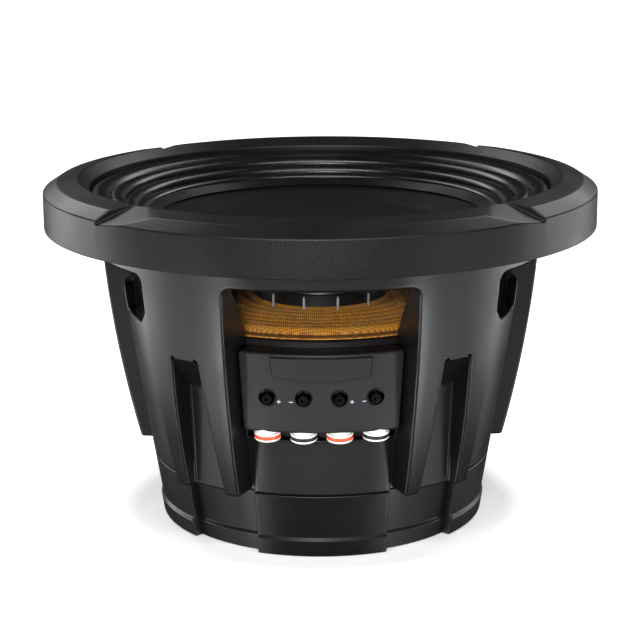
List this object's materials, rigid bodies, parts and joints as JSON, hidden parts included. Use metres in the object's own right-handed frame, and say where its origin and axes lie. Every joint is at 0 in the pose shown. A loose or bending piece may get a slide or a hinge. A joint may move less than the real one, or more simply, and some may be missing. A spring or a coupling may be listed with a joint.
{
  "type": "car subwoofer driver",
  "caption": "Round subwoofer driver with a rubber trim ring, a five-arm basket, a boxed motor and clamp terminals for a dual voice coil.",
  "frame": {"origin": "centre of the motor boot's flat underside, on the voice coil's axis", "axes": "+Z along the voice coil's axis towards the cone, -Y towards the wire terminals, +X to their right as seen from the front"},
  "size_m": [0.2236, 0.224, 0.1404],
  "materials": {
    "frame_paint": "satin black powder coat",
    "trim_rubber": "pebble grained, satin",
    "boot_rubber": "smooth satin",
    "block_plastic": "fine spark texture, charcoal",
    "surround_rubber": "smooth, slightly glossy",
    "cone_pulp": "matt dark fibre cone",
    "spider_cloth": "resin-stiffened woven cloth, golden",
    "plated_steel": "turned and plated",
    "zinc_screw": "zinc plated",
    "ferrite": "ground ferrite",
    "bare_aluminium": "bare",
    "brass": "turned, blackened",
    "coil_copper": "enamelled copper wire",
    "tinsel_braid": "silvered braid",
    "white_plastic": "satin moulded",
    "red_plastic": "satin moulded",
    "black_plastic": "moulded"
  },
  "bodies": {
    "frame": {"basket_flange": "frame_paint", "basket_arm_1": "frame_paint", "basket_arm_2": "frame_paint", "basket_arm_3": "frame_paint", "basket_arm_4": "frame_paint", "basket_arm_5": "frame_paint", "basket_drum": "frame_paint", "trim_ring": "trim_rubber", "motor_boot": "boot_rubber", "yoke": "plated_steel", "magnet_lower": "ferrite", "magnet_upper": "ferrite", "top_plate": "plated_steel", "shorting_ring": "bare_aluminium", "vent_screen": "bare_aluminium", "motor_screw_1": "zinc_screw", "motor_screw_2": "zinc_screw", "motor_screw_3": "zinc_screw", "motor_screw_4": "zinc_screw", "motor_screw_5": "zinc_screw", "spider_ring": "black_plastic", "spider": "spider_cloth", "surround": "surround_rubber", "terminal_block": "block_plastic", "name_plate": "block_plastic", "block_screw_1": "zinc_screw", "block_screw_2": "zinc_screw", "clamp_barrel_1": "brass", "port_collar_1": "white_plastic", "port_band_1": "red_plastic", "clamp_barrel_2": "brass", "port_collar_2": "white_plastic", "port_band_2": "black_plastic", "clamp_barrel_3": "brass", "port_collar_3": "white_plastic", "port_band_3": "red_plastic", "clamp_barrel_4": "brass", "port_collar_4": "white_plastic", "port_band_4": "black_plastic", "tinsel_lead_1": "tinsel_braid", "tinsel_lead_2": "tinsel_braid", "tinsel_lead_3": "tinsel_braid", "tinsel_lead_4": "tinsel_braid"},
    "cone": {"cone": "cone_pulp", "dust_cap": "cone_pulp", "voice_coil_former": "bare_aluminium", "voice_coil_lower": "coil_copper", "voice_coil_upper": "coil_copper", "neck_collar": "black_plastic"},
    "clamp_1": {"clamp_pad_1": "brass"},
    "screw_1": {"set_screw_1": "zinc_screw"},
    "clamp_2": {"clamp_pad_2": "brass"},
    "screw_2": {"set_screw_2": "zinc_screw"},
    "clamp_3": {"clamp_pad_3": "brass"},
    "screw_3": {"set_screw_3": "zinc_screw"},
    "clamp_4": {"clamp_pad_4": "brass"},
    "screw_4": {"set_screw_4": "zinc_screw"}
  },
  "joints": [
    {"name": "cone_travel", "type": "slide", "parent": "frame", "child": "cone", "axis": [0, 0, 1], "range_m": [-0.01, 0.01], "stiffness_N_per_m": 2600, "deforming": ["surround", "spider", "tinsel_lead_1", "tinsel_lead_2", "tinsel_lead_3", "tinsel_lead_4"]},
    {"name": "clamp_press_1", "type": "slide", "parent": "frame", "child": "clamp_1", "axis": [0, 1, 0], "range_m": [0, 0.0021]},
    {"name": "screw_turn_1", "type": "hinge", "parent": "clamp_1", "child": "screw_1", "pos_m": [-0.0207, -0.06883, 0.067], "axis": [0, 1, 0], "range_deg": [0, 1080]},
    {"name": "clamp_press_2", "type": "slide", "parent": "frame", "child": "clamp_2", "axis": [0, 1, 0], "range_m": [0, 0.0021]},
    {"name": "screw_turn_2", "type": "hinge", "parent": "clamp_2", "child": "screw_2", "pos_m": [-0.0069, -0.07138, 0.067], "axis": [0, 1, 0], "range_deg": [0, 1080]},
    {"name": "clamp_press_3", "type": "slide", "parent": "frame", "child": "clamp_3", "axis": [0, 1, 0], "range_m": [0, 0.0021]},
    {"name": "screw_turn_3", "type": "hinge", "parent": "clamp_3", "child": "screw_3", "pos_m": [0.0069, -0.07138, 0.067], "axis": [0, 1, 0], "range_deg": [0, 1080]},
    {"name": "clamp_press_4", "type": "slide", "parent": "frame", "child": "clamp_4", "axis": [0, 1, 0], "range_m": [0, 0.0021]},
    {"name": "screw_turn_4", "type": "hinge", "parent": "clamp_4", "child": "screw_4", "pos_m": [0.0207, -0.06883, 0.067], "axis": [0, 1, 0], "range_deg": [0, 1080]}
  ],
  "couplings": [
    {"joint": "screw_turn_1", "follows": "clamp_press_1", "rad_per_m": 8976},
    {"joint": "screw_turn_2", "follows": "clamp_press_2", "rad_per_m": 8976},
    {"joint": "screw_turn_3", "follows": "clamp_press_3", "rad_per_m": 8976},
    {"joint": "screw_turn_4", "follows": "clamp_press_4", "rad_per_m": 8976}
  ]
}
